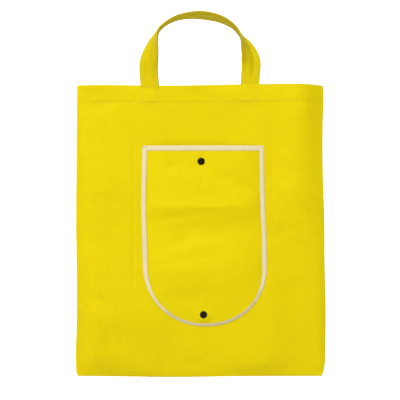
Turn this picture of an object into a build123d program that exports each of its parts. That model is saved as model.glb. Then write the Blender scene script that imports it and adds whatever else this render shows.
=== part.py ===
from build123d import *
from math import cos, radians, sin, tan
import os

# Foldable tote bag of thin non-woven cloth, hung up by its two straps.
# Millimetres. +Z is up and the front, with its pocket, faces -Y. The origin is where the bag hangs:
# the middle of the loops' underside, midway between the front and the back strap.

# Bag
WIDTH = 360.0
HEIGHT = 424.0
HALF_DEPTH = 7.0  # from the middle to the inner face of each panel
CLOTH = 0.5
LOOP_CLEARANCE = 103.0  # from the bag's top edge to the underside of the loops
TOP = -LOOP_CLEARANCE
BOTTOM = TOP - HEIGHT
TAPER_HEIGHT = 60.0  # where front and back draw together above the bottom fold
TAPER_TOP = BOTTOM + TAPER_HEIGHT
HEM_HEIGHT = 25.0
SEAM_HALF = 0.5  # half the thickness of the side seam and of the bottom fold
SEAM_WIDTH = 8.0

# Upright fold lines, just outside the pocket, and the gap that lets the sides turn
LEFT_FOLD = -90.0
RIGHT_FOLD = 102.0
FOLD_GAP = 0.15  # on each side of a fold line
HALF_WIDTH = WIDTH / 2
INNER = HALF_DEPTH
OUTER = HALF_DEPTH + CLOTH
HEM_INNER = HALF_DEPTH - CLOTH

# Straps
STRAP_WIDTH = 27.0
STRAP_THICKNESS = 1.4
STRAP_X = 74.0
STRAP_START = 0.6  # above the bag's top edge
STRAP_LEAN = 5.9  # degrees, outwards
STRAP_Y = HEM_INNER - STRAP_THICKNESS / 2
# Half of a strap's centreline, from its foot to the crown: x, height above the top edge, twist
STRAP_STATIONS = [
    (STRAP_X, STRAP_START, 0.0),
    (STRAP_X, 16.0, 0.0),
    (75.0, 34.0, 9.0),
    (72.5, 50.0, 34.0),
    (68.5, 66.0, 62.0),
    (61.5, 80.0, 86.0),
    (53.0, 89.6, 95.0),
    (41.0, 97.0, 98.0),
    (22.0, 102.2, 100.0),
    (0.0, 103.8, 100.0),
]

# Pocket
POCKET_X = 5.0
POCKET_WIDTH = 182.0
POCKET_TOP = TOP - 88.0
POCKET_HEIGHT = 265.0
POCKET_GAP = 5.4  # between the bag and the pocket cloth
BINDING_WIDTH = 6.8
MOUTH_BINDING_HEIGHT = 7.4
BINDING_WRAP = 0.6  # how far the tape stands off each face of the pocket cloth
TAPE_HOLD = 2.0  # how far the tape's outer edge is outside the pocket cloth's edge
POCKET_BACK = -OUTER - POCKET_GAP
POCKET_FRONT = POCKET_BACK - CLOTH

# Press studs
TOP_SNAP = (1.6, POCKET_TOP - 22.6)  # x, z
BOTTOM_SNAP = (5.1, POCKET_TOP - POCKET_HEIGHT + 19.5)
CAP_RADIUS = 5.35
CAP_HEIGHT = 1.6
CAP_ROUND = 0.9
PRONG_RADIUS = 0.9
FLANGE_RADIUS = 4.9
FLANGE_HEIGHT = 1.2
SOCKET_RADIUS = 2.1
SOCKET_HEIGHT = 2.6
STUD_RADIUS = 2.0
STUD_HEIGHT = 2.0

os.makedirs("parts", exist_ok=True)


def save(built, label):
    built.part.label = label
    export_step(built.part, f"parts/{label}.step")


# Outlines


def outline(plane, points):
    """A closed outline with straight sides."""
    with BuildSketch(plane) as drawn:
        with BuildLine():
            Polyline(*points, close=True)
        make_face()
    return drawn.sketch


def rectangle(plane, width, height, middle=(0, 0)):
    with BuildSketch(plane) as drawn:
        with Locations(middle):
            Rectangle(width, height)
    return drawn.sketch


def circle(plane, radius, middle):
    with BuildSketch(plane) as drawn:
        with Locations(middle):
            Circle(radius)
    return drawn.sketch


def level_plane(z):
    return Plane.XY.offset(z)


def facing_plane(y):
    """A plane square to Y: its x is world X, its y is world Z and it faces the front."""
    return Plane(origin=(0, y, 0), x_dir=(1, 0, 0), z_dir=(0, -1, 0))


# The cloth between the fold lines: front, back, hems and bottom fold

CENTER_LOW = LEFT_FOLD + FOLD_GAP
CENTER_HIGH = RIGHT_FOLD - FOLD_GAP
CENTER_X = (CENTER_LOW + CENTER_HIGH) / 2
CENTER_WIDTH = CENTER_HIGH - CENTER_LOW
HEM_LOW = TOP - HEM_HEIGHT


def upright_sheet(width, middle_x, near_y, far_y, low, high):
    """A flat sheet that stands square to Y."""
    middle = (middle_x, (near_y + far_y) / 2)
    extrude(rectangle(level_plane(low), width, abs(far_y - near_y), middle), amount=high - low)


with BuildPart() as front_panel_center:
    upright_sheet(CENTER_WIDTH, CENTER_X, -OUTER, -INNER, TAPER_TOP, TOP)
save(front_panel_center, "front_panel_center")

with BuildPart() as back_panel_center:
    upright_sheet(CENTER_WIDTH, CENTER_X, INNER, OUTER, TAPER_TOP, TOP)
save(back_panel_center, "back_panel_center")

with BuildPart() as front_hem_center:
    upright_sheet(CENTER_WIDTH, CENTER_X, -INNER, -HEM_INNER, HEM_LOW, TOP)
save(front_hem_center, "front_hem_center")

with BuildPart() as back_hem_center:
    upright_sheet(CENTER_WIDTH, CENTER_X, HEM_INNER, INNER, HEM_LOW, TOP)
save(back_hem_center, "back_hem_center")


def across_bag(z, near_x, far_x, near_half, far_half):
    """A level outline across the bag, as deep at each end as given."""
    corners = [(near_x, -near_half), (far_x, -far_half), (far_x, far_half), (near_x, near_half)]
    return outline(level_plane(z), corners)


def bottom_trough(near_x, far_x, near_half, far_half):
    """The cloth that closes the bag, from the panels' depth down to the fold at the bottom."""
    outside = [
        across_bag(TAPER_TOP, near_x, far_x, near_half + CLOTH, far_half + CLOTH),
        across_bag(BOTTOM, near_x, far_x, SEAM_HALF + CLOTH, SEAM_HALF + CLOTH),
    ]
    inside = [
        across_bag(TAPER_TOP, near_x, far_x, near_half, far_half),
        across_bag(BOTTOM + CLOTH, near_x, far_x, SEAM_HALF, SEAM_HALF),
    ]
    loft(outside, ruled=True)
    loft(inside, ruled=True, mode=Mode.SUBTRACT)


with BuildPart() as bottom_fold_center:
    bottom_trough(CENTER_LOW, CENTER_HIGH, HALF_DEPTH, HALF_DEPTH)
save(bottom_fold_center, "bottom_fold_center")

# The two sides: each turns about its fold line and thins out to the side seam


def half_depth_at(x, fold_x, side_x):
    """Half the inside depth of a side: full at the fold line, closed at the seam."""
    share = (x - fold_x) / (side_x - fold_x)
    return HALF_DEPTH + share * (SEAM_HALF - HALF_DEPTH)


def slanted_sheet(facing, start, end, low):
    """A sheet of cloth along a side, up to the top. start and end give x and the inner face's depth."""
    corners = [
        (start[0], facing * start[1]),
        (end[0], facing * end[1]),
        (end[0], facing * (end[1] + CLOTH)),
        (start[0], facing * (start[1] + CLOTH)),
    ]
    extrude(outline(level_plane(low), corners), amount=TOP - low)


for name, fold_x, outward in (("left", LEFT_FOLD, -1), ("right", RIGHT_FOLD, 1)):
    start_x = fold_x + outward * FOLD_GAP
    side_x = outward * HALF_WIDTH
    seam_x = side_x - outward * SEAM_WIDTH / 2
    hem_end_x = side_x - outward * (SEAM_WIDTH + 2)
    start_half = half_depth_at(start_x, fold_x, side_x)
    hem_end_half = half_depth_at(hem_end_x, fold_x, side_x)
    panel_start = (start_x, start_half)
    panel_end = (side_x, SEAM_HALF)
    hem_start = (start_x, start_half - CLOTH)
    hem_end = (hem_end_x, hem_end_half - CLOTH)

    with BuildPart() as front_panel_side:
        slanted_sheet(-1, panel_start, panel_end, TAPER_TOP)
    save(front_panel_side, f"front_panel_{name}")

    with BuildPart() as back_panel_side:
        slanted_sheet(1, panel_start, panel_end, TAPER_TOP)
    save(back_panel_side, f"back_panel_{name}")

    with BuildPart() as front_hem_side:
        slanted_sheet(-1, hem_start, hem_end, HEM_LOW)
    save(front_hem_side, f"front_hem_{name}")

    with BuildPart() as back_hem_side:
        slanted_sheet(1, hem_start, hem_end, HEM_LOW)
    save(back_hem_side, f"back_hem_{name}")

    with BuildPart() as side_seam:
        upright_sheet(SEAM_WIDTH, seam_x, -SEAM_HALF, SEAM_HALF, TAPER_TOP, TOP)
    save(side_seam, f"{name}_side_seam")

    with BuildPart() as bottom_fold_side:
        bottom_trough(start_x, side_x, start_half, SEAM_HALF)
    save(bottom_fold_side, f"bottom_fold_{name}")

# Strap ends, sewn flat to the inside of the hem

for name, facing in (("front", -1), ("back", 1)):
    near_y = facing * HEM_INNER
    far_y = facing * (HEM_INNER - STRAP_THICKNESS)
    for place, x in (("left", -STRAP_X), ("right", STRAP_X)):
        with BuildPart() as strap_end:
            upright_sheet(STRAP_WIDTH, x, near_y, far_y, HEM_LOW, TOP)
        save(strap_end, f"{name}_strap_end_{place}")

# Straps: each rises flat, turns on edge at the shoulders and crosses the crown on its flat

LEFT_STATIONS = [(-x, height, turn) for x, height, turn in STRAP_STATIONS]
RIGHT_STATIONS = list(reversed(STRAP_STATIONS[:-1]))


def strap_point(facing, x, height):
    """A point of a strap's centreline, x across and height above the bag's top edge."""
    y = facing * (STRAP_Y + height * tan(radians(STRAP_LEAN)))
    return Vector(x, y, TOP + height)


def strap_section(facing, before, station, after):
    """The strap's cross-section at a station, square to the line between its neighbours."""
    x, height, turn = station
    here = strap_point(facing, x, height)
    along = (strap_point(facing, *after[:2]) - strap_point(facing, *before[:2])).normalized()
    outward = Vector(0, facing * cos(radians(STRAP_LEAN)), -sin(radians(STRAP_LEAN)))
    inward = outward.cross(along).normalized() * facing
    across = inward * cos(radians(turn)) + outward * sin(radians(turn))
    plane = Plane(origin=here, x_dir=across, z_dir=along)
    return rectangle(plane, STRAP_WIDTH, STRAP_THICKNESS)


for name, facing in (("front", -1), ("back", 1)):
    stations = LEFT_STATIONS + RIGHT_STATIONS
    neighbours = [stations[0]] + stations + [stations[-1]]
    sections = []
    for before, station, after in zip(neighbours, stations, neighbours[2:]):
        sections.append(strap_section(facing, before, station, after))
    with BuildPart() as strap:
        loft(sections, ruled=True)
    save(strap, f"{name}_handle")

# Pocket: a U-shaped patch, bound all round with tape, open along its straight top edge

TAPE_BACK = POCKET_BACK + BINDING_WRAP
TAPE_FRONT = POCKET_FRONT - BINDING_WRAP
CURVE_START = POCKET_TOP - POCKET_HEIGHT + POCKET_WIDTH / 2  # the foot is half a circle


def u_outline(plane, inset, top):
    """The pocket's outline, drawn in by inset and cut off straight at the height top."""
    half = POCKET_WIDTH / 2 - inset
    left = POCKET_X - half
    right = POCKET_X + half
    foot = (POCKET_X, CURVE_START - half)
    with BuildSketch(plane) as drawn:
        with BuildLine():
            Polyline((left, CURVE_START), (left, top), (right, top), (right, CURVE_START))
            ThreePointArc((right, CURVE_START), foot, (left, CURVE_START))
        make_face()
    return drawn.sketch


def pocket_cloth(mode=Mode.ADD):
    """The pocket's cloth, whose edge lies inside the fold of the tape."""
    cloth_outline = u_outline(facing_plane(POCKET_BACK), TAPE_HOLD, POCKET_TOP - TAPE_HOLD)
    extrude(cloth_outline, amount=CLOTH, mode=mode)


with BuildPart() as pocket_panel:
    pocket_cloth()
    for snap in (TOP_SNAP, BOTTOM_SNAP):
        hole = circle(facing_plane(POCKET_BACK), PRONG_RADIUS, snap)
        extrude(hole, amount=CLOTH, mode=Mode.SUBTRACT)
save(pocket_panel, "pocket_panel")

with BuildPart() as pocket_edge_binding:
    tape_depth = -OUTER - TAPE_FRONT
    tape_top = POCKET_TOP - MOUTH_BINDING_HEIGHT
    extrude(u_outline(facing_plane(-OUTER), 0, tape_top), amount=tape_depth)
    extrude(
        u_outline(facing_plane(-OUTER), BINDING_WIDTH, POCKET_TOP),
        amount=tape_depth,
        mode=Mode.SUBTRACT,
    )
    pocket_cloth(Mode.SUBTRACT)
save(pocket_edge_binding, "pocket_edge_binding")

with BuildPart() as pocket_mouth_binding:
    middle = (POCKET_X, POCKET_TOP - MOUTH_BINDING_HEIGHT / 2)
    tape = rectangle(facing_plane(TAPE_BACK), POCKET_WIDTH, MOUTH_BINDING_HEIGHT, middle)
    extrude(tape, amount=TAPE_BACK - TAPE_FRONT)
    pocket_cloth(Mode.SUBTRACT)
save(pocket_mouth_binding, "pocket_mouth_binding")

# Press studs through the pocket: a cap on its face, and a socket or a stud behind it


def snap_disc(y, snap, radius, depth, mode=Mode.ADD):
    """A disc from y towards the front, or towards the back if its depth is negative."""
    extrude(circle(facing_plane(y), radius, snap), amount=depth, mode=mode)


for place, snap in (("top", TOP_SNAP), ("bottom", BOTTOM_SNAP)):
    with BuildPart() as snap_cap:
        snap_disc(POCKET_FRONT, snap, CAP_RADIUS, CAP_HEIGHT)
        fillet(snap_cap.edges().group_by(Axis.Y)[0], radius=CAP_ROUND)
        snap_disc(POCKET_FRONT, snap, PRONG_RADIUS, -CLOTH - FLANGE_HEIGHT)
    save(snap_cap, f"{place}_snap_cap")

with BuildPart() as top_snap_socket:
    snap_disc(POCKET_BACK, TOP_SNAP, FLANGE_RADIUS, -SOCKET_HEIGHT)
    snap_disc(POCKET_BACK, TOP_SNAP, PRONG_RADIUS, -SOCKET_HEIGHT, Mode.SUBTRACT)
    snap_disc(POCKET_BACK + FLANGE_HEIGHT, TOP_SNAP, SOCKET_RADIUS, -SOCKET_HEIGHT, Mode.SUBTRACT)
save(top_snap_socket, "top_snap_socket")

with BuildPart() as bottom_snap_stud:
    snap_disc(POCKET_BACK, BOTTOM_SNAP, FLANGE_RADIUS, -FLANGE_HEIGHT)
    snap_disc(POCKET_BACK, BOTTOM_SNAP, PRONG_RADIUS, -FLANGE_HEIGHT, Mode.SUBTRACT)
    snap_disc(POCKET_BACK + FLANGE_HEIGHT, BOTTOM_SNAP, STUD_RADIUS, -STUD_HEIGHT)
save(bottom_snap_stud, "bottom_snap_stud")
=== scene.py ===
import math

import bpy
import numpy as np
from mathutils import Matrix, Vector


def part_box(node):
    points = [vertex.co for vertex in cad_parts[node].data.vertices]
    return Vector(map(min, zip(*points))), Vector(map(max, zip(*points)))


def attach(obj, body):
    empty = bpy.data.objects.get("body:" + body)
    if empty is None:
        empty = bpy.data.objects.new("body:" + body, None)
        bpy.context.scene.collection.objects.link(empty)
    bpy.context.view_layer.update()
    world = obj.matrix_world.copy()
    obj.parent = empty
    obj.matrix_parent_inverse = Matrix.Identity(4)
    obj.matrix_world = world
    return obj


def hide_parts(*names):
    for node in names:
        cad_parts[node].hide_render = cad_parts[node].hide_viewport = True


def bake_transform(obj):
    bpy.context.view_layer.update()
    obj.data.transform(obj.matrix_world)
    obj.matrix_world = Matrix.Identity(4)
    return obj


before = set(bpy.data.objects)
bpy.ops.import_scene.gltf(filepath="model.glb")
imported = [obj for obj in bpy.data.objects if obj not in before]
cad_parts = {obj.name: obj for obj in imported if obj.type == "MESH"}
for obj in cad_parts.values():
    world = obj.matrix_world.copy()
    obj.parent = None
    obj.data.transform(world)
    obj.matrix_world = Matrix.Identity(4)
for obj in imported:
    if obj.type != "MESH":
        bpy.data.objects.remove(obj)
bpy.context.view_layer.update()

# Shapes are in millimetres in the row frame, and put into metres when a mesh is made.
# "down" is the distance below the bag's top edge. A cloth "faces" -1, the front, or 1, the back.
MM = 0.001


def box_mm(node):
    low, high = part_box(node)
    return np.array(low) / MM, np.array(high) / MM


def snap_place(cap):
    """(x, down) of a press stud."""
    low, high = box_mm(cap)
    return (low[0] + high[0]) / 2, TOP - (low[2] + high[2]) / 2


TOP = box_mm("front_panel_center")[1][2]
BOTTOM = box_mm("bottom_fold_center")[0][2]
HEIGHT = TOP - BOTTOM
HALF_WIDTH = box_mm("front_panel_right")[1][0]
SHARE = 180.0  # mm across in a share of 1, where the cloth lies flat
FOLD_GAP = 0.15
LEFT_FOLD = box_mm("front_panel_center")[0][0] - FOLD_GAP
RIGHT_FOLD = box_mm("front_panel_center")[1][0] + FOLD_GAP
LEFT_BEND = (LEFT_FOLD - 0.5, LEFT_FOLD - 6.5)
RIGHT_BEND = (RIGHT_FOLD + 0.5, RIGHT_FOLD + 6.5)
SPLIT_X = 5.0  # where the body's two halves meet, under the pocket
HEM = 25.0
HEM_STITCH = HEM - 1.2
HEM_LAYER = 0.95  # from the cloth's face to the hem's inner face
POCKET_LOW, POCKET_HIGH = box_mm("pocket_edge_binding")
SNAPS = [snap_place(cap) for cap in ("top_snap_cap", "bottom_snap_cap")]
SNAP_BACK = box_mm("top_snap_socket")[0][1] - 0.5  # y of the pocket cloth's face behind their caps


# -------- small maths


def ease(t):
    t = np.clip(t, 0, 1)
    return t * t * (3 - 2 * t)


def hump(v, at, width):
    """1 at the given place, and down to 0 about two widths away on both sides."""
    return np.exp(-(((v - at) / width) ** 2))


def unit(v):
    return v / np.maximum(np.linalg.norm(v, axis=-1, keepdims=True), 1e-9)


def run_length(points):
    """The distance along a line of points, from 0 at the first."""
    return np.concatenate([[0], np.cumsum(np.linalg.norm(np.diff(points, axis=0), axis=1))])


def through(x, stations):
    """A smooth curve through (position, value) stations, flat beyond both ends."""
    at, value = (np.array(v, float) for v in zip(*stations))
    slope = np.gradient(value, at)
    x = np.clip(x, at[0], at[-1])
    i = np.clip(np.searchsorted(at, x) - 1, 0, len(at) - 2)
    h = at[i + 1] - at[i]
    t = (x - at[i]) / h
    return (
        (2 * t**3 - 3 * t**2 + 1) * value[i]
        + (t**3 - 2 * t**2 + t) * h * slope[i]
        + (3 * t**2 - 2 * t**3) * value[i + 1]
        + (t**3 - t**2) * h * slope[i + 1]
    )


def ripples(x, down, seed, wavelength, count=9):
    """A smooth random field from -1 to 1 or so, with features about a wavelength across."""
    r = np.random.default_rng(seed)
    total = np.zeros(np.broadcast(x, down).shape)
    for _ in range(count):
        angle, phase = r.uniform(0, math.pi), r.uniform(0, 2 * math.pi)
        k = 2 * math.pi / (wavelength * r.uniform(0.75, 1.5))
        total += np.cos(k * (x * math.cos(angle) + down * math.sin(angle)) + phase)
    return total / math.sqrt(count)


def ridge(off, before, after, height, blunt=2.0):
    """A ridge at off = 0 with a blunt crest, which falls away over the two lengths."""
    near = np.sqrt(off**2 + blunt**2) - blunt
    return height * np.exp(-near / np.where(off < 0, before, after))


def crease(x, down, a, b, width, height):
    """A soft straight ridge from a to b, which fades at both ends. Points are (x, down)."""
    length = math.dist(a, b)
    ux, ud = (b[0] - a[0]) / length, (b[1] - a[1]) / length
    along = (x - a[0]) * ux + (down - a[1]) * ud
    off = (down - a[1]) * ux - (x - a[0]) * ud
    inside = (along > 0) & (along < length)
    fade = np.sin(math.pi * np.clip(along / length, 0, 1)) ** 0.6 * inside
    return height * fade * hump(off, 0, width)


# -------- the bag's body

# down, x
LEFT_SIDE = [
    (0, -179.8), (40, -180.4), (130, -181.0), (200, -181.5), (260, -180.7),
    (350, -180.7), (412, -181.5), (419, -180.9), (424, -178.6),
]
RIGHT_SIDE = [
    (0, 179.9), (8, 180.6), (60, 179.7), (115, 179.7), (150, 180.6), (190, 182.0),
    (250, 182.4), (330, 184.0), (385, 183.4), (408, 182.6), (416, 181.4), (424, 178.2),
]
# x, how far the top edge stands above its CAD height
TOP_EDGE = [
    (-180, 0.5), (-140, 0.7), (-100, 0.2), (-50, -0.2), (0, 0.4),
    (45, 1.3), (90, 2.1), (130, 2.3), (160, 1.8), (180, 0.2),
]

# What stands out of each wall's smooth shape, in mm outwards. Its parts are random waves (height,
# seed, wavelength), the middles of the strap ends behind it, creases (both ends as (x, down),
# width, height) and the seeds of its hem's puckers and its side seams' gathers.
FRONT_WALL = {
    "waves": [(1.1, 3, 150), (0.5, 4, 66), (0.09, 5, 24)],
    "strap_ends": (-74.5, 73.0),
    "creases": [
        # below the strap ends
        ((-90.5, 33), (-56.5, 37), 6, -0.55),
        ((57, 33), (91, 37), 6, -0.55),
        # the upright folds it was packed in
        ((LEFT_FOLD - 6, 40), (LEFT_FOLD - 6, 300), 2.6, -0.32),
        ((LEFT_FOLD - 3, 40), (LEFT_FOLD - 3, 330), 2.2, 0.25),
        ((RIGHT_FOLD + 4, 60), (RIGHT_FOLD + 4, 235), 2.6, -0.30),
        ((RIGHT_FOLD + 8, 60), (RIGHT_FOLD + 8, 260), 2.6, 0.2),
        # soft waves on the right
        ((102, 138), (176, 168), 15, 2.2),
        ((108, 178), (184, 196), 12, -1.2),
        ((98, 222), (146, 204), 7, -1.1),
        # soft waves on the left, and a crease beside the pocket
        ((-182, 160), (-118, 150), 6, 0.9),
        ((-182, 178), (-105, 170), 5, -0.6),
        ((-182, 300), (-120, 322), 7, -1.4),
        ((-182, 330), (-110, 345), 8, 1.0),
        ((-172, 36), (-112, 20), 7, -0.8),
        ((-99, 190), (-96, 304), 2.6, -0.8),
        # low on the right
        ((105, 290), (172, 262), 14, 1.2),
    ],
    "hem_seed": 31,
    "seam_seed": 41,
}
BACK_WALL = {
    "waves": [(0.55, 13, 140), (0.3, 14, 60), (0.07, 15, 23)],
    "strap_ends": (-74.0, 74.0),
    "creases": [
        # below the strap ends
        ((-90, 34), (-58, 36), 6, -0.5),
        ((58, 34), (90, 36), 6, -0.5),
        # the folds it was packed in
        ((LEFT_FOLD - 3, 30), (LEFT_FOLD - 3, 395), 2.4, -0.35),
        ((RIGHT_FOLD + 3, 30), (RIGHT_FOLD + 3, 395), 2.4, -0.35),
        ((-150, 186), (160, 190), 2.8, 0.4),
        # soft waves
        ((-120, 250), (-20, 232), 9, 0.7),
        ((30, 300), (140, 330), 10, -0.7),
        ((40, 120), (120, 96), 9, 0.5),
    ],
    "hem_seed": 32,
    "seam_seed": 42,
}


def left_x(down):
    return through(down, LEFT_SIDE)


def right_x(down):
    return through(down, RIGHT_SIDE)


def across(u, down):
    """x of the point that is the share u, from -1 to 1, of the way across the bag."""
    return left_x(down) + (u + 1) / 2 * (right_x(down) - left_x(down))


def share_across(x, down):
    return 2 * (x - left_x(down)) / (right_x(down) - left_x(down)) - 1


def half_depth(u, down):
    """Half the bag's depth: it is flat across the middle and rolls in to the seams and the bottom."""
    up = HEIGHT - down
    # the roll into the side seams, tighter on the left and low on the right
    roll = np.where(u < 0, 24 + 14 * ease(down / HEIGHT), 42 - 6 * ease(down / 260))
    sharp = 2 + 3 * ease((down - 180) / 120) * (u > 0)
    side = 1 - np.clip((np.abs(u) * SHARE - SHARE + roll) / roll, 0, 1) ** sharp
    thin = 1 - 0.45 * ease((u - 0.55) / 0.33) * ease((down - 180) / 70)  # the low right side lies flat
    # the roll into the bottom
    slow = 1 - (1 - np.clip(up / 120, 0, 1)) ** 2.0
    quick = 1 - (1 - np.clip(up / 34, 0, 1)) ** 1.7
    base = 6.7 * (0.35 * slow + 0.65 * quick)
    # the cloth hangs fuller low down, above all on the left, and at the top right corner
    low = 1 - ease((up - 110) / 130)
    foot = (3.3 + 2.6 * ease((-u - 0.1) / 0.8) - 1.4 * ease((u - 0.5) / 0.4)) * quick * low
    sag = (2.6 + 2.2 * ease(-u / 0.9)) * hump(up, 92, 48) * (1 - 0.85 * ease((u - 0.35) / 0.5))
    full_corner = 6.2 * hump(u, 0.82, 0.15) * hump(down, 0, 170)
    # the pocket's sewn foot draws it flat
    sewn_flat = 3.4 * hump(u, 0.03, 0.33) * hump(up, 96, 36)
    return 0.5 + side * thin * (base + foot + sag * quick + full_corner - sewn_flat)


def strap_mark(x, down, center):
    """The raised shape of a strap end behind the hem."""
    return ease((13.6 - np.abs(x - center)) / 1.6) * ease((24.5 - down) / 1.5)


def wall_relief(x, down, shape):
    r = sum(height * ripples(x, down, seed, length) for height, seed, length in shape["waves"])
    r = r * ease(down / 12) * ease((HEIGHT - down) / 20)
    for center in shape["strap_ends"]:
        r += 0.55 * strap_mark(x, down, center)
    for row in shape["creases"]:
        r += crease(x, down, *row)
    return r


def hem_relief(x, down, seed):
    """The turned hem stands a little thick, and its stitch line pulls in."""
    pucker = 0.16 * hump(down, HEM_STITCH, 7.0) * ripples(x, down * 0.3, seed, 16)
    return 0.3 * ease((HEM + 0.6 - down) / 1.2) - 0.24 * hump(down, HEM_STITCH, 1.3) + pucker


def seam_pull(u, down, seed):
    """Short gathers that run in from the side seams."""
    close = np.exp(-((1 - np.abs(u)) / 0.05))
    return 0.3 * close * ripples(down, 0, seed, 27) * ease(down / 20)


SETTLED = {}  # how the simulation moved each wall, by which way it faces


def settled(facing, u, down):
    """The simulated settling of the cloth at (u, down), as x, y and height in mm."""
    if facing not in SETTLED:
        return 0, 0, 0
    field = SETTLED[facing]
    rows, columns = field.shape[:2]
    r = np.clip(down / HEIGHT * (rows - 1), 0, rows - 1.001)
    c = np.clip((u + 1) / 2 * (columns - 1), 0, columns - 1.001)
    i, j = r.astype(int), c.astype(int)
    s, t = ease(r - i)[..., None], ease(c - j)[..., None]
    top = field[i, j] * (1 - t) + field[i, j + 1] * t
    low = field[i + 1, j] * (1 - t) + field[i + 1, j + 1] * t
    return np.moveaxis(top * (1 - s) + low * s, -1, 0)


def wall(u, down, facing, layer=0.0):
    """A point of the front (facing -1) or back (1) cloth. layer moves it inwards."""
    u, down = np.broadcast_arrays(np.asarray(u, float), np.asarray(down, float))
    x = across(u, down)
    shape = FRONT_WALL if facing < 0 else BACK_WALL
    relief = wall_relief(x, down, shape)
    if facing < 0:  # the lower left rolls away
        relief = relief - 0.8 * ease((down - 330) / 80) * ease((-x - 20) / 120)
    relief = relief + hem_relief(x, down, shape["hem_seed"]) + seam_pull(u, down, shape["seam_seed"])
    fade = 1 - np.abs(u) ** 14  # both walls meet at the side seams
    dx, dy, dz = settled(facing, u, down)
    depth = half_depth(u, down) + relief * fade * ease((HEIGHT - down) / 12)
    depth = np.maximum(depth + facing * dy * fade, 0.35) - layer
    rise = through(x, TOP_EDGE) * np.exp(-down / 60)
    bottom_lift = 0.9 * ease((down - 380) / 44) * hump(x, -45, 70)
    return np.stack([x + dx * fade, facing * depth, TOP - down + rise - bottom_lift + dz], -1)


def front_y(x, down):
    """y of the front cloth at x, down."""
    return wall(share_across(x, down), down, -1)[..., 1]


# -------- meshes


def mesh_object(name, points_mm, faces, material, uv=None, normals=None):
    """A smooth mesh. uv is the cloth's flat coordinate in mm, for its grain."""
    mesh = bpy.data.meshes.new(name)
    mesh.from_pydata((np.reshape(points_mm, (-1, 3)) * MM).tolist(), [], faces)
    mesh.materials.append(material)
    mesh.shade_smooth()
    if uv is not None:
        layer = mesh.uv_layers.new(name="cloth")
        index = np.zeros(len(mesh.loops), np.int32)
        mesh.loops.foreach_get("vertex_index", index)
        flat = np.reshape(uv, (-1, 2))[index] * MM
        layer.data.foreach_set("uv", flat.astype(np.float32).ravel())
    if normals is not None:
        mesh.normals_split_custom_set_from_vertices(np.reshape(normals, (-1, 3)).tolist())
    mesh.update()
    ob = bpy.data.objects.new(name, mesh)
    bpy.context.scene.collection.objects.link(ob)
    return ob


def uv_grid(over, along):
    """Flat coordinates of a grid: over changes from column to column, along from row to row."""
    return np.stack(np.broadcast_arrays(over[None, :], along[:, None]), -1)


def grid_faces(rows, columns, closed=False, flip=False):
    """Quads of a grid of points stored row by row. closed joins its last column to its first."""
    faces = []
    for i in range(rows - 1):
        for j in range(columns if closed else columns - 1):
            a, b = i * columns + j, i * columns + (j + 1) % columns
            c, d = b + columns, a + columns
            faces.append((a, d, c, b) if flip else (a, b, c, d))
    return faces


def tube_faces(rows, columns, flip=False):
    """A grid closed into a tube, with both its ends capped."""
    first = tuple(range(columns))
    last = tuple(range((rows - 1) * columns, rows * columns))
    caps = [first[::-1], last] if flip else [first, last[::-1]]
    return grid_faces(rows, columns, closed=True, flip=flip) + caps


def grid_normals(points):
    """Unit normals of a grid of points, by rows x columns."""
    return unit(np.cross(np.gradient(points, axis=1), np.gradient(points, axis=0)))


def stitch_points(path, normals, pitch=3.0, length=2.45, radius=0.21, lift=0.05):
    """Lockstitches along a path: short threads that dip into the cloth at both ends."""
    along = np.array([0, 0.12, 0.5, 0.88, 1.0])
    rise = (lift + np.array([-0.3, 0.02, 0.12, 0.02, -0.3]))[:, None, None]
    wide = radius * np.array([0.55, 0.95, 1.0, 0.95, 0.55])[:, None, None]
    sides = 6
    angles = np.linspace(0, 2 * math.pi, sides, endpoint=False)[None, :, None]
    s = run_length(path)
    stitch = grid_faces(len(along), sides, closed=True)
    points, faces = [], []
    for start in np.arange(0.3, s[-1] - length, pitch):
        t = start + length * along
        p = np.stack([np.interp(t, s, path[:, k]) for k in range(3)], 1)
        n = unit(np.stack([np.interp(t, s, normals[:, k]) for k in range(3)], 1))
        side = np.cross(n, unit(p[-1] - p[0]))
        rings = p[:, None] + n[:, None] * (rise + wide * np.sin(angles))
        rings = rings + side[:, None] * wide * np.cos(angles)
        faces += [tuple(i + len(points) for i in face) for face in stitch]
        points += rings.reshape(-1, 3).tolist()
    return points, faces


def stitch_object(name, runs, material, **options):
    """One mesh for several runs of stitches, each (path, normals)."""
    points, faces = [], []
    for path, normals in runs:
        p, f = stitch_points(path, normals, **options)
        faces += [tuple(i + len(points) for i in face) for face in f]
        points += p
    return mesh_object(name, points, faces, material)


# -------- materials


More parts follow.
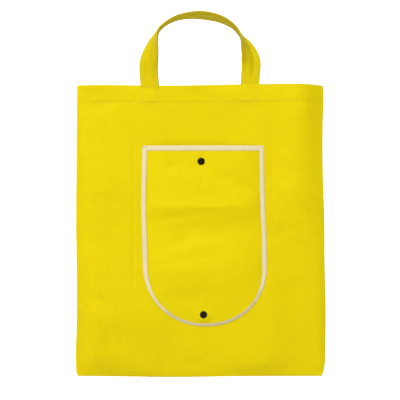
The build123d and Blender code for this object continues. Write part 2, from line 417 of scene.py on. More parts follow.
class Nodes:
    """A new material's nodes. An input is a number, a colour or another node's output."""

    def __init__(self, name):
        self.material = bpy.data.materials.new(name)
        self.material.use_nodes = True
        self.material.node_tree.nodes.clear()

    def add(self, kind, inputs, **settings):
        tree = self.material.node_tree
        node = tree.nodes.new("ShaderNode" + kind)
        for setting, value in settings.items():
            setattr(node, setting, value)
        for socket, value in inputs.items():
            if isinstance(value, bpy.types.NodeSocket):
                tree.links.new(value, node.inputs[socket])
            else:
                node.inputs[socket].default_value = value
        return node

    def math(self, kind, a, b=None, clamp=False):
        inputs = {0: a} if b is None else {0: a, 1: b}
        return self.add("Math", inputs, operation=kind, use_clamp=clamp).outputs[0]

    def times(self, a, b):
        return self.math("MULTIPLY", a, b)

    def coordinates(self, kind):
        return self.add("TexCoord", {}).outputs[kind]

    def noise(self, vector, scale, detail=2.0, stretch=None, rough=0.5):
        if stretch is not None:
            vector = self.add("Mapping", {"Scale": stretch, "Vector": vector}).outputs["Vector"]
        inputs = {"Vector": vector, "Scale": scale, "Detail": detail, "Roughness": rough}
        return self.add("TexNoise", inputs).outputs["Fac"]

    def ramp(self, value, low, high):
        """A colour that runs from low to high, each (position, colour)."""
        node = self.add("ValToRGB", {"Fac": value})
        for element, (at, colour) in zip(node.color_ramp.elements, (low, high)):
            element.position = at
            element.color = (*colour, 1)
        return node.outputs["Color"]

    def bump(self, height, strength, distance):
        inputs = {"Height": height, "Strength": strength, "Distance": distance}
        return self.add("Bump", inputs).outputs["Normal"]

    def finish(self, surface):
        self.add("OutputMaterial", {"Surface": surface})
        return self.material


def bond_points(nodes, vector, pitch):
    """The embossed points of a spunbond: 1 on a point, 0 between, on a staggered grid."""
    inputs = {"Rotation": (0, 0, math.radians(45)), "Scale": (1 / pitch,) * 3, "Vector": vector}
    turned = nodes.add("Mapping", inputs).outputs["Vector"]
    parts = nodes.add("SeparateXYZ", {0: turned})
    from_middle = []
    for axis in ("X", "Y"):
        share = nodes.math("SUBTRACT", nodes.math("FRACT", parts.outputs[axis]), 0.5)
        from_middle.append(nodes.math("ABSOLUTE", share))
    inside = nodes.math("SUBTRACT", 0.34, nodes.math("MAXIMUM", *from_middle))
    return nodes.math("MULTIPLY", inside, 8.0, clamp=True)


CLOTH_GLOSS = (0.62, 1.0, 0.20)
POINT_TINT = (0.90, 0.87, 0.78, 1)


def spunbond(
    name, colour, deep, pitch=0.0013, let_through=0.18, emboss=0.25, gloss=CLOTH_GLOSS, shine=0.34, rough=0.72
):
    """Non-woven polypropylene: laid fibres, cloudy density and a grid of pressed points."""
    nodes = Nodes(name)
    vector = nodes.coordinates("UV")
    cloud = nodes.noise(vector, 75, 3, rough=0.6)
    fibre = nodes.noise(vector, 900, 3, stretch=(1.0, 0.22, 1.0))
    cross = nodes.noise(vector, 1100, 2, stretch=(0.25, 1.0, 1.0))
    points = bond_points(nodes, vector, pitch)
    fibres = nodes.math("ADD", nodes.times(fibre, 0.55), nodes.times(cross, 0.45))
    tone = nodes.math("ADD", nodes.times(cloud, 0.5), nodes.times(fibres, 0.5))
    base = nodes.ramp(tone, (0.36, deep), (0.62, colour))
    inputs = {"Factor": nodes.times(points, 0.35), "A": base, "B": POINT_TINT}
    tinted = nodes.add("Mix", inputs, data_type="RGBA", blend_type="MULTIPLY").outputs["Result"]
    roughness = nodes.math("ADD", rough - 0.04, nodes.times(fibres, 0.16))
    roughness = nodes.math("SUBTRACT", roughness, nodes.times(points, 0.10))
    height = nodes.math("SUBTRACT", nodes.times(fibres, 0.7), nodes.times(points, 0.6))
    normal = nodes.bump(height, emboss, 0.00012)
    inputs = {
        "Base Color": tinted,
        "Roughness": roughness,
        "Normal": normal,
        "Sheen Weight": 0.06,
        "Sheen Roughness": 0.5,
        "Sheen Tint": (*gloss, 1),
        "Specular IOR Level": shine,
        "Specular Tint": (*gloss, 1),
    }
    surface = nodes.add("BsdfPrincipled", inputs).outputs[0]
    if let_through:
        back_lit = nodes.add("BsdfTranslucent", {"Color": (*deep, 1), "Normal": normal}).outputs[0]
        surface = nodes.add("MixShader", {"Fac": let_through, 1: surface, 2: back_lit}).outputs[0]
    return nodes.finish(surface)


def thread(name, colour, deep):
    """Spun polyester thread, with its twist."""
    nodes = Nodes(name)
    inputs = {"Vector": nodes.coordinates("Object"), "Scale": 900, "Distortion": 2.0}
    twist = nodes.add("TexWave", inputs, bands_direction="DIAGONAL").outputs["Fac"]
    inputs = {
        "Base Color": nodes.ramp(twist, (0.0, deep), (1.0, colour)),
        "Roughness": 0.30,
        "Sheen Weight": 0.2,
        "Normal": nodes.bump(twist, 0.3, 0.00006),
    }
    return nodes.finish(nodes.add("BsdfPrincipled", inputs).outputs[0])


def moulded_plastic(name, colour, scuff):
    """Black moulded plastic, satin, with fine scuffs where fingers press it."""
    nodes = Nodes(name)
    vector = nodes.coordinates("Object")
    grain = nodes.noise(vector, 1600, 2)
    wear = nodes.noise(vector, 420, 4, stretch=(1, 1, 0.25), rough=0.7)
    inputs = {
        "Base Color": nodes.ramp(wear, (0.45, colour), (0.75, scuff)),
        "Roughness": nodes.math("ADD", 0.24, nodes.times(wear, 0.22)),
        "Specular IOR Level": 0.1,
        "Normal": nodes.bump(grain, 0.12, 0.00005),
    }
    return nodes.finish(nodes.add("BsdfPrincipled", inputs).outputs[0])


def paper(name, horizon):
    """Pale paper, lit from behind where it stands up above the horizon."""
    nodes = Nodes(name)
    vector = nodes.coordinates("Object")
    grain = nodes.noise(vector, 40, 3)
    height = nodes.add("SeparateXYZ", {0: vector}).outputs["Z"]
    upright = nodes.math("MULTIPLY", nodes.math("SUBTRACT", height, horizon), 4.0, clamp=True)
    inputs = {
        "Base Color": nodes.ramp(grain, (0.3, (0.73, 0.73, 0.73)), (0.7, (0.75, 0.75, 0.75))),
        "Roughness": 0.9,
        "Emission Color": (1, 1, 1, 1),
        "Emission Strength": nodes.times(upright, 0.75),
    }
    return nodes.finish(nodes.add("BsdfPrincipled", inputs).outputs[0])


BODY_CLOTH = spunbond("body_spunbond", (0.785, 0.634, 0.0012), (0.745, 0.582, 0.001))
# The pocket's cloth is the body's spunbond painted a little lighter: painted light for the brightness its
# extra layer of cloth gives back.
POCKET_CLOTH = spunbond("pocket_spunbond", (0.805, 0.653, 0.0012), (0.77, 0.61, 0.001))
# The straps' cloth is the same spunbond painted much darker: painted shade for the thick strap, which gets
# none of the light that shines through the thin walls.
STRAP_CLOTH = spunbond(
    "strap_spunbond", (0.595, 0.462, 0.0012), (0.555, 0.425, 0.001), let_through=0.0, emboss=0.35
)
TAPE = spunbond(
    "binding_tape",
    (0.77, 0.675, 0.445),
    (0.72, 0.615, 0.38),
    pitch=0.0009,
    let_through=0.12,
    emboss=0.3,
    gloss=(1.0, 1.0, 0.95),
    shine=0.12,
    rough=0.68,
)
YELLOW_THREAD = thread("yellow_thread", (0.74, 0.60, 0.02), (0.56, 0.43, 0.01))
CREAM_THREAD = thread("cream_thread", (0.84, 0.80, 0.68), (0.62, 0.58, 0.46))
SNAP = moulded_plastic("snap_plastic", (0.008, 0.0045, 0.003), (0.018, 0.012, 0.009))


# -------- cloth settling

SETTLING_GRID = (55, 47)  # rows and columns of each wall
SETTLING_FRAMES = 36
MOST_MOVED = np.array([1.0, 2.5, 1.0])  # along x, y and z


def settling_tube():
    """The bag's two walls, joined at sides and bottom: points, faces, and the point at each place."""
    rows, columns = SETTLING_GRID
    u, down = np.meshgrid(np.linspace(-1, 1, columns), np.linspace(0, HEIGHT, rows))
    depth = half_depth(u, down) * 0.8  # the pressure fills it again
    points, place = [], {}
    for facing in (-1, 1):
        sheet = np.stack([across(u, down), facing * depth, TOP - down], -1)
        for i in range(rows):
            for j in range(columns):
                shared = j in (0, columns - 1) or i == rows - 1
                if facing > 0 and shared:
                    place[1, i, j] = place[-1, i, j]
                    continue
                place[facing, i, j] = len(points)
                points.append(sheet[i, j] * [1, 0, 1] if shared else sheet[i, j])
    faces = []
    for facing in (-1, 1):
        for i in range(rows - 1):
            for j in range(columns - 1):
                corners = ((i, j), (i, j + 1), (i + 1, j + 1), (i + 1, j))
                faces.append(tuple(place[facing, *corner] for corner in corners[::facing]))
    return np.array(points), faces, place


def settle_cloth():
    """Lets the bag's tube of cloth fill a little and hang from its hem, and keeps how it moved."""
    rows, columns = SETTLING_GRID
    start, faces, place = settling_tube()
    mesh = bpy.data.meshes.new("settling")
    mesh.from_pydata((start * MM).tolist(), [], faces)
    ob = bpy.data.objects.new("settling", mesh)
    bpy.context.scene.collection.objects.link(ob)
    held = ob.vertex_groups.new(name="held")
    held.add([place[facing, 0, j] for facing in (-1, 1) for j in range(columns)], 1.0, "REPLACE")
    cloth = ob.modifiers.new("cloth", "CLOTH")
    s = cloth.settings
    s.quality = 6
    s.mass = 0.08
    s.tension_stiffness = s.compression_stiffness = 40
    s.shear_stiffness = 12
    s.bending_stiffness = 0.6
    s.air_damping = 2
    s.use_pressure = True
    s.uniform_pressure_force = 0.12
    s.vertex_group_mass = "held"
    cloth.collision_settings.use_collision = False
    cloth.point_cache.frame_start, cloth.point_cache.frame_end = 1, SETTLING_FRAMES
    for f in range(1, SETTLING_FRAMES + 1):
        bpy.context.scene.frame_set(f)
    done = ob.evaluated_get(bpy.context.evaluated_depsgraph_get()).to_mesh()
    moved = np.array([v.co for v in done.vertices]) / MM - start
    for facing in (-1, 1):
        field = np.array([[moved[place[facing, i, j]] for j in range(columns)] for i in range(rows)])
        inner = field[1:-1, 1:-1]
        for _ in range(2):  # smoothed
            beside = field[:-2, 1:-1] + field[2:, 1:-1] + field[1:-1, :-2] + field[1:-1, 2:]
            inner += 0.2 * (beside - 4 * inner)
        SETTLED[facing] = np.clip(field, -MOST_MOVED, MOST_MOVED)
    bpy.context.scene.frame_set(1)
    bpy.data.objects.remove(ob)
    bpy.data.meshes.remove(mesh)


# -------- pieces of the body


def columns_across():
    """Shares across the bag: even, and close together where a side bends."""
    even = np.arange(-SHARE, SHARE + 0.1, 2.5)
    fine = [np.arange(min(b) - 1.5, max(b) + 1.6, 0.36) for b in (LEFT_BEND, RIGHT_BEND)]
    ends = [-179.4, -178.6, -177.6, 177.6, 178.6, 179.4]
    keep = [x for x in even if all(not (f[0] - 1 < x < f[-1] + 1) for f in fine)]
    return np.unique(np.concatenate([keep, *fine, ends])) / SHARE


def rows_down():
    """Distances down a wall: close together at the top edge, the hem's stitches and the bottom."""
    parts = [
        [0.0, 0.5, 1.2, 2.2],
        np.arange(4.5, 20, 2.5),
        np.arange(20.5, 29, 0.8),
        np.arange(30, HEIGHT - 26, 2.6),
        np.arange(HEIGHT - 25, HEIGHT - 4, 1.7),
        HEIGHT - np.array([3.2, 1.9, 0.9, 0.3]),
    ]
    return np.concatenate(parts)


def body_sheet():
    """The one piece of cloth of the body, as a grid: front hem, front, bottom, back, back hem."""
    u, down = columns_across(), rows_down()
    hem_rows = [HEM, 22.0, 18.0, 13.0, 8.0, 4.0, 1.6]
    front = HEIGHT + 2 * HEM  # the cloth's flat coordinate at the front's top edge, and at the back's
    back = front + 2 * HEIGHT
    lines, flat = [], []

    def add(facing, d, layer, lift, at):
        lines.append(wall(u, d, facing, layer) + [0, 0, lift])
        flat.append(at)

    for d in hem_rows:
        add(-1, d, HEM_LAYER, 0, front - d)
    add(-1, 0.15, 0.8, 0.15, front + 0.2)
    add(-1, 0.0, 0.45, 0.35, front + 0.8)
    for d in down:
        add(-1, d, 0, 0, front + 1 + d)
    lines.append(wall(u, HEIGHT, -1) * [1, 0, 1] - [0, 0, 0.25])
    flat.append(front + 1 + HEIGHT)
    for d in down[::-1]:
        add(1, d, 0, 0, back + 2 - d)
    add(1, 0.0, 0.45, 0.35, back + 2.6)
    add(1, 0.15, 0.8, 0.15, back + 3)
    for d in hem_rows[::-1]:
        add(1, d, HEM_LAYER, 0, back + 3 + d)
    return u, np.stack(lines), uv_grid(u * SHARE, np.array(flat))


def make_body():
    """The body's cloth in its left and right half, which share their line of points at the split."""
    u, points, uv = body_sheet()
    normals = grid_normals(points)
    cut = int(np.argmin(np.abs(u - SPLIT_X / SHARE)))
    made = []
    for name, part in (("left", slice(0, cut + 1)), ("right", slice(cut, None))):
        p = points[:, part]
        faces = grid_faces(*p.shape[:2])
        made.append(mesh_object(f"body_cloth_{name}", p, faces, BODY_CLOTH, uv[:, part], normals[:, part]))
    return made


def make_hem_stitching():
    """The line of stitches that holds the turned hem, front and back, in its two halves."""
    made = []
    split = SPLIT_X / SHARE
    for name, low, high in (("left", -0.985, split), ("right", split + 0.008, 0.985)):
        u = np.linspace(low, high, 160)
        runs = [(wall(u, HEM_STITCH, facing), np.tile([0, facing, 0], (len(u), 1))) for facing in (-1, 1)]
        made.append(stitch_object(f"hem_stitching_{name}", runs, YELLOW_THREAD))
    return made


# the seam allowance's section: how far in from the seam, y
ALLOWANCE = [(0.9, -0.32), (4.0, -0.42), (7.6, -0.3), (7.8, 0.0), (7.6, 0.3), (4.0, 0.42), (0.9, 0.32)]
OVERCAST_PITCH = 4.2


def make_side_seam(name, side):
    """The seam's allowance inside the bag: two layers of cloth, overcast along their edge."""
    down = np.linspace(3, HEIGHT - 8, 90)
    edge = left_x(down) if side < 0 else right_x(down)
    wobble = 0.35 * ripples(down, 0, 51 + side, 40)
    rows = []
    for inward, y in ALLOWANCE:
        x = edge - side * (inward + (0.25 * wobble if inward > 2 else 0))
        rows.append(np.stack([x, y + wobble * (inward / 8) ** 2 * 0.8, TOP - down], -1))
    points = np.stack(rows)
    uv = uv_grid(down, np.arange(len(rows)) * 3.0)[..., ::-1]
    strip = mesh_object(f"{name}_seam_allowance", points, grid_faces(*points.shape[:2]), BODY_CLOTH, uv)
    s = np.linspace(5, HEIGHT - 10, 420)
    zigzag = np.abs(((s / OVERCAST_PITCH) % 1) - 0.5) * 2
    x = np.interp(s, down, edge) - side * (3.6 + 4.4 * zigzag)
    y = 0.62 * np.cos(2 * math.pi * s / OVERCAST_PITCH) + np.interp(s, down, wobble) * 0.5
    path = np.stack([x, y, TOP - s], -1)
    return strip, thread_object(f"{name}_seam_overcasting", path, 0.17, YELLOW_THREAD)


def thread_object(name, path, radius, material, sides=5):
    """A thread along a path."""
    tangent = unit(np.gradient(path, axis=0))
    side = unit(np.cross(tangent, [0.31, 0.87, 0.38]))  # a direction that the path never takes
    other = np.cross(tangent, side)
    angles = np.linspace(0, 2 * math.pi, sides, endpoint=False)[None, :, None]
    rings = path[:, None] + radius * (np.cos(angles) * side[:, None] + np.sin(angles) * other[:, None])
    return mesh_object(name, rings, tube_faces(len(path), sides), material)


# -------- straps

STRAP_WIDTH, STRAP_THICK = 27.0, 1.5
STRAP_STITCH = STRAP_WIDTH / 2 - 2.3  # from the strap's middle
SEWN_LENGTH = 27  # of a strap's end, behind the hem
# x, distance out from the middle, height above the top edge, turn
FRONT_STRAP = [
    (-73.6, 5.4, -24, 0), (-73.6, 5.4, -12, 0), (-73.7, 5.6, 0, 0), (-74.4, 7.0, 12, 0),
    (-75.3, 8.2, 26, 4), (-74.4, 9.8, 38, 17), (-71.4, 11.2, 50, 34), (-67.8, 12.6, 63, 60),
    (-65.0, 13.4, 72, 76), (-61.4, 14.0, 79.2, 86), (-57.2, 14.4, 84.4, 90), (-51.0, 14.7, 89.6, 90),
    (-42, 15.0, 95.2, 91), (-28, 15.2, 100.6, 94), (-14, 15.2, 103.0, 97), (0, 15.2, 103.8, 100),
    (14, 15.2, 102.2, 101), (28, 15.2, 98.2, 101), (40, 15.0, 92.0, 100), (49, 14.7, 85.6, 97),
    (56, 14.2, 78.6, 90), (61.4, 13.6, 70.5, 79), (66.4, 12.8, 61, 59), (71.4, 11.4, 49, 34),
    (74.6, 9.8, 38, 14), (75.2, 8.3, 27, 3), (74.0, 7.0, 12, 0), (73.2, 5.7, 0, 0),
    (73.0, 5.4, -12, 0), (73.0, 5.4, -24, 0),
]
BACK_STRAP = [
    (-73.4, 5.4, -24, 0), (-73.4, 5.4, -12, 0), (-73.4, 5.6, 0, 0), (-74.2, 7.0, 12, 0),
    (-75.2, 8.2, 26, 4), (-74.4, 9.8, 38, 17), (-72.0, 11.2, 50, 34), (-68.6, 12.6, 64, 58),
    (-65.4, 13.4, 73.5, 76), (-61.8, 14.0, 81.0, 88), (-57.4, 14.4, 86.4, 91), (-51.2, 14.7, 91.6, 91),
    (-42, 15.0, 96.8, 90), (-28, 15.2, 101.4, 89), (-14, 15.2, 103.0, 88), (0, 15.2, 102.8, 87),
    (14, 15.2, 101.0, 86), (28, 15.2, 97.6, 87), (40, 15.0, 92.6, 88), (49.4, 14.7, 86.6, 90),
    (56.4, 14.2, 79.8, 90), (61.8, 13.6, 71.6, 81), (66.6, 12.8, 61, 60), (71.4, 11.4, 50, 34),
    (73.8, 9.8, 38, 14), (74.2, 8.3, 27, 3), (73.4, 7.0, 12, 0), (73.0, 5.7, 0, 0),
    (73.0, 5.4, -12, 0), (73.0, 5.4, -24, 0),
]


def strap_section():
    """The strap's cross-section (across, out): folded edges, and two sewn grooves."""
    half, t = STRAP_WIDTH / 2, STRAP_THICK / 2
    edge = [(0.15, 0.25), (0.5, 0.85), (1.4, 1.1), (1.9, 0.9), (2.3, 0.62), (2.7, 0.9), (3.4, 1.04)]
    between = [(a, 1.03) for a in np.linspace(-half + 4.4, half - 4.4, 19)]
    upper = [(a - half, b) for a, b in edge] + between + [(half - a, b) for a, b in reversed(edge)]
    lower = [(a, -b) for a, b in reversed(upper)]
    return np.array([(a, b * t) for a, b in upper + lower])


def strap_line(stations, facing):
    """Points, width directions and face normals along a strap, from its left end to its right end."""
    data = np.array(stations, float)
    for row in data:
        if row[2] <= 0:  # sewn inside the hem, which is measured half way down it
            cloth = abs(float(wall(share_across(row[0], 12.0), 12.0, facing)[1]))
            row[1] = cloth - HEM_LAYER - STRAP_THICK / 2 - 0.05
    key = np.arange(len(data), dtype=float)
    fine = np.linspace(0, len(data) - 1, 190)
    x, out, height, turn = (through(fine, list(zip(key, column))) for column in data.T)
    p = np.stack([x, facing * out, TOP + height], -1)
    tangent = unit(np.gradient(p, axis=0))
    away = np.array([0.0, facing, 0.0])
    outward = unit(away - tangent * (tangent @ away)[:, None])
    inward = np.cross(outward, tangent) * facing
    angle = np.radians(turn)[:, None]
    width = inward * np.cos(angle) + outward * np.sin(angle)
    return p, width, np.cross(tangent, width)


def make_strap(name, stations, facing, seed):
    """A doubled-over strap with soft lengthwise folds, and a line of stitches along each edge."""
    p, width, normal = strap_line(stations, facing)
    s = run_length(p)
    section = strap_section()
    a, along = section[None, :, 0], s[:, None]
    # the folds fade out where the strap is sewn flat
    free = ease((along - SEWN_LENGTH) / 24) * ease((s[-1] - SEWN_LENGTH - along) / 24)
    fold = -3.5 + 2.2 * ripples(along, 0, seed + 2, 110)
    folds = 1.1 * hump(a, fold, 2.4) - 0.9 * hump(a, fold + 7.5, 2.8)
    folds = folds + 0.3 * ripples(a, along * 0.16, seed + 1, 13)
    out = section[None, :, 1] + 0.06 * ripples(along, 0, seed, 22) + free * folds
    points = p[:, None] + width[:, None] * a[..., None] + normal[:, None] * out[..., None]
    # the width coordinate runs on round the back, so the cloth's grain does too
    uv = uv_grid(run_length(section), s)
    strap = mesh_object(name, points, tube_faces(*points.shape[:2]), STRAP_CLOTH, uv)
    seen = (s > SEWN_LENGTH) & (s < s[-1] - SEWN_LENGTH)
    runs = []
    for side in (-1, 1):
        for face in (-1, 1):
            line = p + width * side * STRAP_STITCH + normal * face * STRAP_THICK * 0.36
            runs.append((line[seen], (normal * face)[seen]))
    return strap, stitch_object(name + "_stitching", runs, YELLOW_THREAD, radius=0.18, lift=0.04)


def make_box_stitching(name, centers, facing):
    """The box sewn through hem and strap end, seen on the outside."""
    runs = []
    for center in centers:
        left, right, top, bottom = center - 10.2, center + 10.2, 3.0, 22.5
        corners = [(left, top), (right, top), (right, bottom), (left, bottom), (left, top)]
        for a, b in zip(corners, corners[1:]):
            x, down = np.linspace(a, b, 14).T
            path = wall(share_across(x, down), down, facing)
            runs.append((path, np.tile([0.0, facing, 0.0], (len(path), 1))))
    return stitch_object(name, runs, YELLOW_THREAD, pitch=2.7, length=2.2, radius=0.17, lift=0.02)


# -------- the pocket

MOUTH = 88.4  # down to the pocket's top edge
POCKET_BASE = -7.8  # y that the pocket's height is measured from, away from its edges
ROUND_START = 262  # down to where the sides start to round in
FOOT_HEIGHT = 88.8
FOOT_MIDDLE = 6.2  # x of the foot's lowest point
# down, x
POCKET_LEFT = [(86, -84.0), (130, -84.8), (177, -85.6), (225, -84.2), (ROUND_START, -83.0)]
POCKET_RIGHT = [(86, 93.0), (130, 93.4), (177, 94.6), (218, 96.4), (ROUND_START, 97.4)]


def pocket_sides(down, inset=0.0):
    """The left and right edges of the pocket at a distance down, drawn in by inset."""
    left = through(down, POCKET_LEFT) + inset
    right = through(down, POCKET_RIGHT) - inset
    t = np.clip((down - ROUND_START) / (FOOT_HEIGHT - inset), 0, 1)
    round_left = FOOT_MIDDLE + (left - FOOT_MIDDLE) * (1 - t**2.0) ** 0.5
    round_right = FOOT_MIDDLE + (right - FOOT_MIDDLE) * (1 - t**2.15) ** (1 / 2.15)
    low = down > ROUND_START
    return np.where(low, round_left, left), np.where(low, round_right, right)


def u_line(step=1.5):
    """(x, down) along the pocket's sewn edge, from the top left round the foot to the top right."""
    angles = np.linspace(0, math.pi / 2, 160)
    down = np.concatenate([np.arange(MOUTH, ROUND_START, 2.0), ROUND_START + FOOT_HEIGHT * np.sin(angles)])
    left, right = pocket_sides(down)
    line = np.stack([np.concatenate([left, right[-2::-1]]), np.concatenate([down, down[-2::-1]])], -1)
    s = run_length(line)
    at = np.linspace(0, s[-1], int(s[-1] / step))
    return np.stack([np.interp(at, s, line[:, 0]), np.interp(at, s, line[:, 1])], -1), at


U_PATH, U_AT = u_line()
U_TANGENT = unit(np.gradient(U_PATH, axis=0))
U_INWARD = np.stack([U_TANGENT[:, 1], -U_TANGENT[:, 0]], -1)  # to the pocket's middle, in (x, down)
U_LOWNESS = ease((0.05 - U_INWARD[:, 1]) / 0.75)  # 0 on the sides, 1 round the foot

# The pocket swells, so its tape stands up off the bag from its outer fold, more so round the foot
SIDE_RISE, FOOT_RISE = 0.8, 2.4
TAPE_RISE = SIDE_RISE + (FOOT_RISE - SIDE_RISE) * U_LOWNESS
TAPE_WIDTH = 6.8
FOOT_NARROWING = 1.5
FOOT_SOLE = 2.1  # the outer part of the tape that stays down on the bag, at the foot
LAP_AT = U_AT[np.argmin(np.hypot(U_PATH[:, 0] + 56, U_PATH[:, 1] - 322))]  # where the tape's ends overlap
TAPE_STITCH = {"pitch": 2.7, "length": 2.2, "radius": 0.19}

# Ridges and furrows of the pocket's cloth: both ends as (x, down), width, height
POCKET_CREASES = [
    ((-78, 196), (20, 186), 6, -0.5),
    ((-72, 206), (-20, 202), 7, 0.5),
    ((-66, 238), (14, 214), 8.0, -0.5),
    ((-62, 250), (44, 224), 8.0, 0.5),
    ((-6, 254), (34, 254), 1.7, 0.22),
    ((-74, 318), (10, 308), 11, -0.7),
    ((-66, 300), (6, 292), 9, 0.5),
    ((18, 128), (92, 160), 8, -1.0),
    ((-70, 126), (-26, 114), 6, -0.8),
    ((4, 126), (4, 152), 5, -0.6),
    ((-40, 140), (60, 146), 16, 0.7),
]


def tape_reach(rise):
    """How far in from its outer fold the tape leaves the bag, and how far in its inner edge lies."""
    lowness = (rise - SIDE_RISE) / (FOOT_RISE - SIDE_RISE)
    sole = FOOT_SOLE * lowness
    slope = TAPE_WIDTH - FOOT_NARROWING * lowness - sole
    return sole, sole + np.sqrt(np.maximum(slope**2 - rise**2, 0.8))


def edge_distance(x, down):
    """The distance from the sewn edge, and how high the tape's inner edge stands there."""
    x, down = np.broadcast_arrays(x, down)
    best, weight, total = np.full(x.shape, 1e9), np.zeros(x.shape), np.zeros(x.shape)
    for (edge_x, edge_down), rise in zip(U_PATH, TAPE_RISE):
        d = np.hypot(x - edge_x, down - edge_down)
        best = np.minimum(best, d)
        w = 1 / (d + 0.5) ** 4
        weight += w
        total += w * rise
    return best, total / weight


def pocket_height(x, down):
    """How far the pocket's cloth stands in front of the bag's front."""
    s, rise = edge_distance(x, down)
    sole, width = tape_reach(rise)
    low_right = ease((down - 245) / 50) * ease((x - 10) / 60)
    full = 1 - np.exp(-np.maximum(s - width, 0) / (17 + 10 * low_right))
    h = rise * np.clip((s - sole) / (width - sole), 0, 1) + (6.0 + 1.8 * low_right - rise) * full
    swell = ridge(down - 176.5, 24, 13, 3.0)  # a soft fold where it folds in half when packed
    swell = swell - 0.9 * hump(down, 208, 13) + 2.6 * hump(down, 271, 29)
    for row in POCKET_CREASES:
        swell = swell + crease(x, down, *row)
    swell = swell + 0.22 * ripples(x, down, 61, 46) + 0.06 * ripples(x, down, 62, 19)
    return h + 1.7 * swell * full


def pocket_y(x, down):
    s, _ = edge_distance(x, down)
    near = np.exp(-s / 12)  # to the sewn edge, where the height is measured from the bag's cloth
    y = front_y(x, down) * near + POCKET_BASE * (1 - near) - pocket_height(x, down)
    for snap_x, snap_down in SNAPS:  # held flat between the halves of each press stud
        held = ease((15 - np.hypot(x - snap_x, down - snap_down)) / 9)
        y = y * (1 - held) + SNAP_BACK * held
    return y


def make_pocket_cloth():
    inset = 2.5
    angles = np.linspace(0, math.radians(86), 46)
    low = ROUND_START + (FOOT_HEIGHT - inset) * np.sin(angles)
    down = np.concatenate([np.arange(MOUTH + 1.0, ROUND_START - 2, 2.4), low])
    left, right = pocket_sides(down, inset)
    even = np.linspace(0, 1, 97)
    t = ease(even) * 0.45 + even * 0.55  # closer together at the sides
    x = left[:, None] + (right - left)[:, None] * t
    d = np.broadcast_to(down[:, None], x.shape)
    points = np.stack([x, pocket_y(x, d), TOP - d], -1)
    uv = np.stack([x, 2000 - d], -1)
    return mesh_object("pocket_cloth", points, grid_faces(*x.shape), POCKET_CLOTH, uv)


# The folded tape's section: over its face to the inner edge and back under. Along the pocket's sewn
# edge it is (share across, thickness), and at the mouth (below the top edge, thickness).
EDGE_TAPE = [
    (0.0, -0.15), (-0.01, 0.25), (0.03, 0.62), (0.12, 0.85), (0.32, 0.98),
    (0.55, 0.95), (0.70, 0.80), (0.76, 0.62), (0.83, 0.80), (0.93, 0.82),
    (0.985, 0.66), (1.0, 0.35), (0.985, 0.05), (0.7, -0.25), (0.35, -0.35),
]
EDGE_GROOVE = 7  # the section's point where the stitches lie
MOUTH_TAPE = [
    (7.5, 0.35), (7.2, 0.62), (6.3, 0.80), (5.5, 0.64), (4.6, 0.82), (2.5, 0.95), (0.9, 0.85),
    (0.1, 0.45), (-0.1, -0.1), (0.2, -0.7), (1.0, -1.0), (3.0, -1.05), (6.0, -0.95), (7.0, -0.6),
]
MOUTH_GROOVE = 3


def make_edge_binding():
    """Tape folded over the pocket's edge and sewn down, round the sides and foot."""
    s = U_AT
    lap = ease((s - LAP_AT) / 1.2) * ease((LAP_AT + 22 - s) / 12)
    gather = 0.12 * U_LOWNESS * ripples(s, 0, 71, 7.5) + 0.05 * ripples(s, 0, 72, 15) + 0.45 * lap
    wide = TAPE_WIDTH - FOOT_NARROWING * U_LOWNESS + 0.12 * ripples(s, 0, 73, 60) + 0.35 * lap
    sole = FOOT_SOLE * U_LOWNESS
    steep = np.arcsin(np.clip(TAPE_RISE / (wide - sole), 0, 0.97))
    rows = []
    for q, thick in EDGE_TAPE:
        along = q * wide
        up_slope = np.maximum(along - sole, 0)
        bent = steep * ease((along - sole + 0.5) / 1.2)
        inward = along - up_slope * (1 - np.cos(steep)) - thick * np.sin(bent)
        out = 0.35 + up_slope * np.sin(steep) + thick * np.cos(bent) + gather * max(q, 0.0) ** 1.5
        x, down = (U_PATH + U_INWARD * inward[:, None]).T
        rows.append(np.stack([x, front_y(x, down) - out, TOP - down], -1))
    points = np.stack(rows, 1)
    uv = uv_grid(run_length(points[5]), s + 3000)
    tape = mesh_object("pocket_edge_tape", points, tube_faces(*points.shape[:2]), TAPE, uv)
    path = points[:, EDGE_GROOVE]
    beside = points[:, EDGE_GROOVE + 1] - points[:, EDGE_GROOVE - 1]
    normal = unit(np.cross(np.gradient(path, axis=0), beside))
    normal = normal * -np.sign(normal[:, 1].mean())  # towards the front
    runs = [(path[3:-3], normal[3:-3])]
    return tape, stitch_object("pocket_edge_stitching", runs, CREAM_THREAD, **TAPE_STITCH)


def make_mouth_binding():
    """Tape folded over the pocket's straight top edge."""
    left, right = pocket_sides(np.array([MOUTH]))
    x = np.linspace(left[0] + 0.5, right[0] - 0.5, 120)
    wave = 0.05 * ripples(x, 0, 81, 18)
    rows = []
    for below, out in MOUTH_TAPE:
        base = pocket_y(x, np.full_like(x, MOUTH - 1.0 + max(below, 1.0)))
        z = np.full_like(x, TOP - MOUTH + 0.8 - below)
        rows.append(np.stack([x, base - out - wave * (out > 0), z], -1))
    points = np.stack(rows, 1)
    faces = tube_faces(*points.shape[:2], flip=True)
    uv = uv_grid(run_length(points[5]) + 100, x + 5000)
    tape = mesh_object("pocket_mouth_tape", points, faces, TAPE, uv)
    path = points[3:-3, MOUTH_GROOVE]
    runs = [(path, np.tile([0.0, -1.0, 0.0], (len(path), 1)))]
    return tape, stitch_object("pocket_mouth_stitching", runs, CREAM_THREAD, **TAPE_STITCH)


CAP_HEIGHT = 1.6


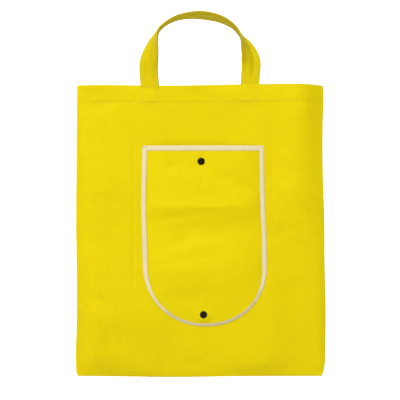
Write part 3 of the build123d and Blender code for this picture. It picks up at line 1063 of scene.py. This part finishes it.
def make_snap_cap(name, node):
    """A turned, domed cap with a shallow dish in the middle and a rolled rim."""
    low, high = box_mm(node)
    r = (high[0] - low[0]) / 2
    # radius, distance in front of the cap's seat
    profile = [
        (0.01, 1.22), (0.5, 1.23), (0.9, 1.30), (1.15, 1.42), (1.4, 1.52), (1.9, 1.56),
        (2.8, 1.50), (3.6, 1.36), (4.3, 1.14), (4.8, 0.88), (5.1, 0.62),
        (r - 0.02, 0.36), (r, 0.18), (r - 0.06, 0.04), (r - 0.35, -0.02), (1.5, -0.02),
    ]
    radius, out = np.array(profile).T[..., None]
    angles = np.linspace(0, 2 * math.pi, 56, endpoint=False)
    x = (low[0] + high[0]) / 2 + radius * np.cos(angles)
    y = np.broadcast_to(low[1] + CAP_HEIGHT - out, x.shape)
    z = (low[2] + high[2]) / 2 + radius * np.sin(angles)
    points = np.stack([x, y, z], -1)
    return mesh_object(name, points, grid_faces(*x.shape, closed=True, flip=True), SNAP)


# -------- build

settle_cloth()

CENTER_NODES = (
    "front_panel_center", "back_panel_center", "front_hem_center", "back_hem_center", "bottom_fold_center",
)
body_left, body_right = make_body()
hem_left, hem_right = make_hem_stitching()
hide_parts(*CENTER_NODES)
halves = (("left", body_left, hem_left, LEFT_BEND), ("right", body_right, hem_right, RIGHT_BEND))
for name, body, hem, (start, end) in halves:
    walls = [f"{wall_side}_{part}_{name}" for part in ("panel", "hem") for wall_side in ("front", "back")]
    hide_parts(*walls, f"bottom_fold_{name}")
    for piece in (body, hem):
        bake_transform(piece)

for name, side in (("left", -1), ("right", 1)):
    strip, threads = make_side_seam(name, side)
    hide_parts(f"{name}_side_seam")
    for piece in (strip, threads):
        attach(piece, f"{name}_side")

for name, stations, facing, seed in (("front", FRONT_STRAP, -1, 91), ("back", BACK_STRAP, 1, 92)):
    strap, stitches = make_strap(f"{name}_strap", stations, facing, seed)
    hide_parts(f"{name}_handle", f"{name}_strap_end_left", f"{name}_strap_end_right")
    boxes = make_box_stitching(f"{name}_strap_box_stitching", (stations[0][0], stations[-1][0]), facing)
    for piece in (strap, stitches):
        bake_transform(piece)
    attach(boxes, "bag")

pocket = make_pocket_cloth()
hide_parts("pocket_panel")
edge_tape, edge_stitches = make_edge_binding()
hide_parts("pocket_edge_binding")
mouth_tape, mouth_stitches = make_mouth_binding()
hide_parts("pocket_mouth_binding")
caps = []
for node in ("top_snap_cap", "bottom_snap_cap"):
    cap = make_snap_cap(f"{node}_face", node)
    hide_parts(node)
    caps.append(cap)
for piece in (pocket, edge_tape, edge_stitches, mouth_tape, mouth_stitches, *caps):
    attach(piece, "bag")

# each half of the body is one cut from its split line to its seam, hem to hem round the bottom
cut_length = (2 * HEIGHT + 2 * HEM + 2) * MM
flat = ((HALF_WIDTH + SPLIT_X) * MM, cut_length)
flat = ((HALF_WIDTH - SPLIT_X) * MM, cut_length)
flat = (POCKET_HIGH - POCKET_LOW)[[0, 2]] * MM
area = flat.prod() - (1 - math.pi / 4) * flat[0] * FOOT_HEIGHT * MM  # less what the round foot cuts away

for node in ("top_snap_socket", "bottom_snap_stud"):
    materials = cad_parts[node].data.materials
    materials.clear()
    materials.append(SNAP)

# -------- the set


def backdrop():
    """A pale floor that sweeps up behind the bag."""
    floor_z, back_y, radius = BOTTOM * MM - 0.55, 2.6, 1.2
    bend_y = back_y - radius
    profile = [(-6.0, floor_z), (bend_y, floor_z)]
    for a in np.linspace(0.15, math.pi / 2, 10):
        profile.append((bend_y + radius * math.sin(a), floor_z + radius * (1 - math.cos(a))))
    profile.append((back_y, floor_z + 6.0))
    points = [(x / MM, y / MM, z / MM) for y, z in profile for x in (-7.0, 7.0)]
    material = paper("paper_sweep", floor_z + 0.02)
    return mesh_object("paper_sweep", points, grid_faces(len(profile), 2, flip=True), material)


backdrop()

world = bpy.data.worlds.new("studio")
bpy.context.scene.world = world
world.use_nodes = True
world.node_tree.nodes["Background"].inputs["Color"].default_value = (1, 1, 1, 1)
world.node_tree.nodes["Background"].inputs["Strength"].default_value = 0.30

key = bpy.data.lights.new("key", "AREA")
key.shape = "RECTANGLE"
key.size = key.size_y = 1.8
key.energy = 222
key_light = bpy.data.objects.new("key", key)
key_light.location = (-0.95, -3.2, 2.85)
to_middle = Vector((0, 0, (TOP + BOTTOM) / 2 * MM)) - key_light.location
key_light.rotation_euler = to_middle.to_track_quat("-Z", "Y").to_euler()
bpy.context.scene.collection.objects.link(key_light)

CAMERA_DISTANCE = 2.0
CAMERA_DOWN = 166.8276  # mm below the bag's top edge
VIEW_WIDTH = 0.58536  # m across the picture, at the bag
camera_data = bpy.data.cameras.new("camera")
camera_data.sensor_width = 36
camera_data.lens = camera_data.sensor_width * CAMERA_DISTANCE / VIEW_WIDTH
camera_data.clip_end = 50
camera = bpy.data.objects.new("camera", camera_data)
camera.location = (0, -CAMERA_DISTANCE, (TOP - CAMERA_DOWN) * MM)
camera.rotation_euler = (math.radians(90), 0, 0)
bpy.context.scene.collection.objects.link(camera)
bpy.context.scene.camera = camera
bpy.context.scene.view_settings.view_transform = "Standard"
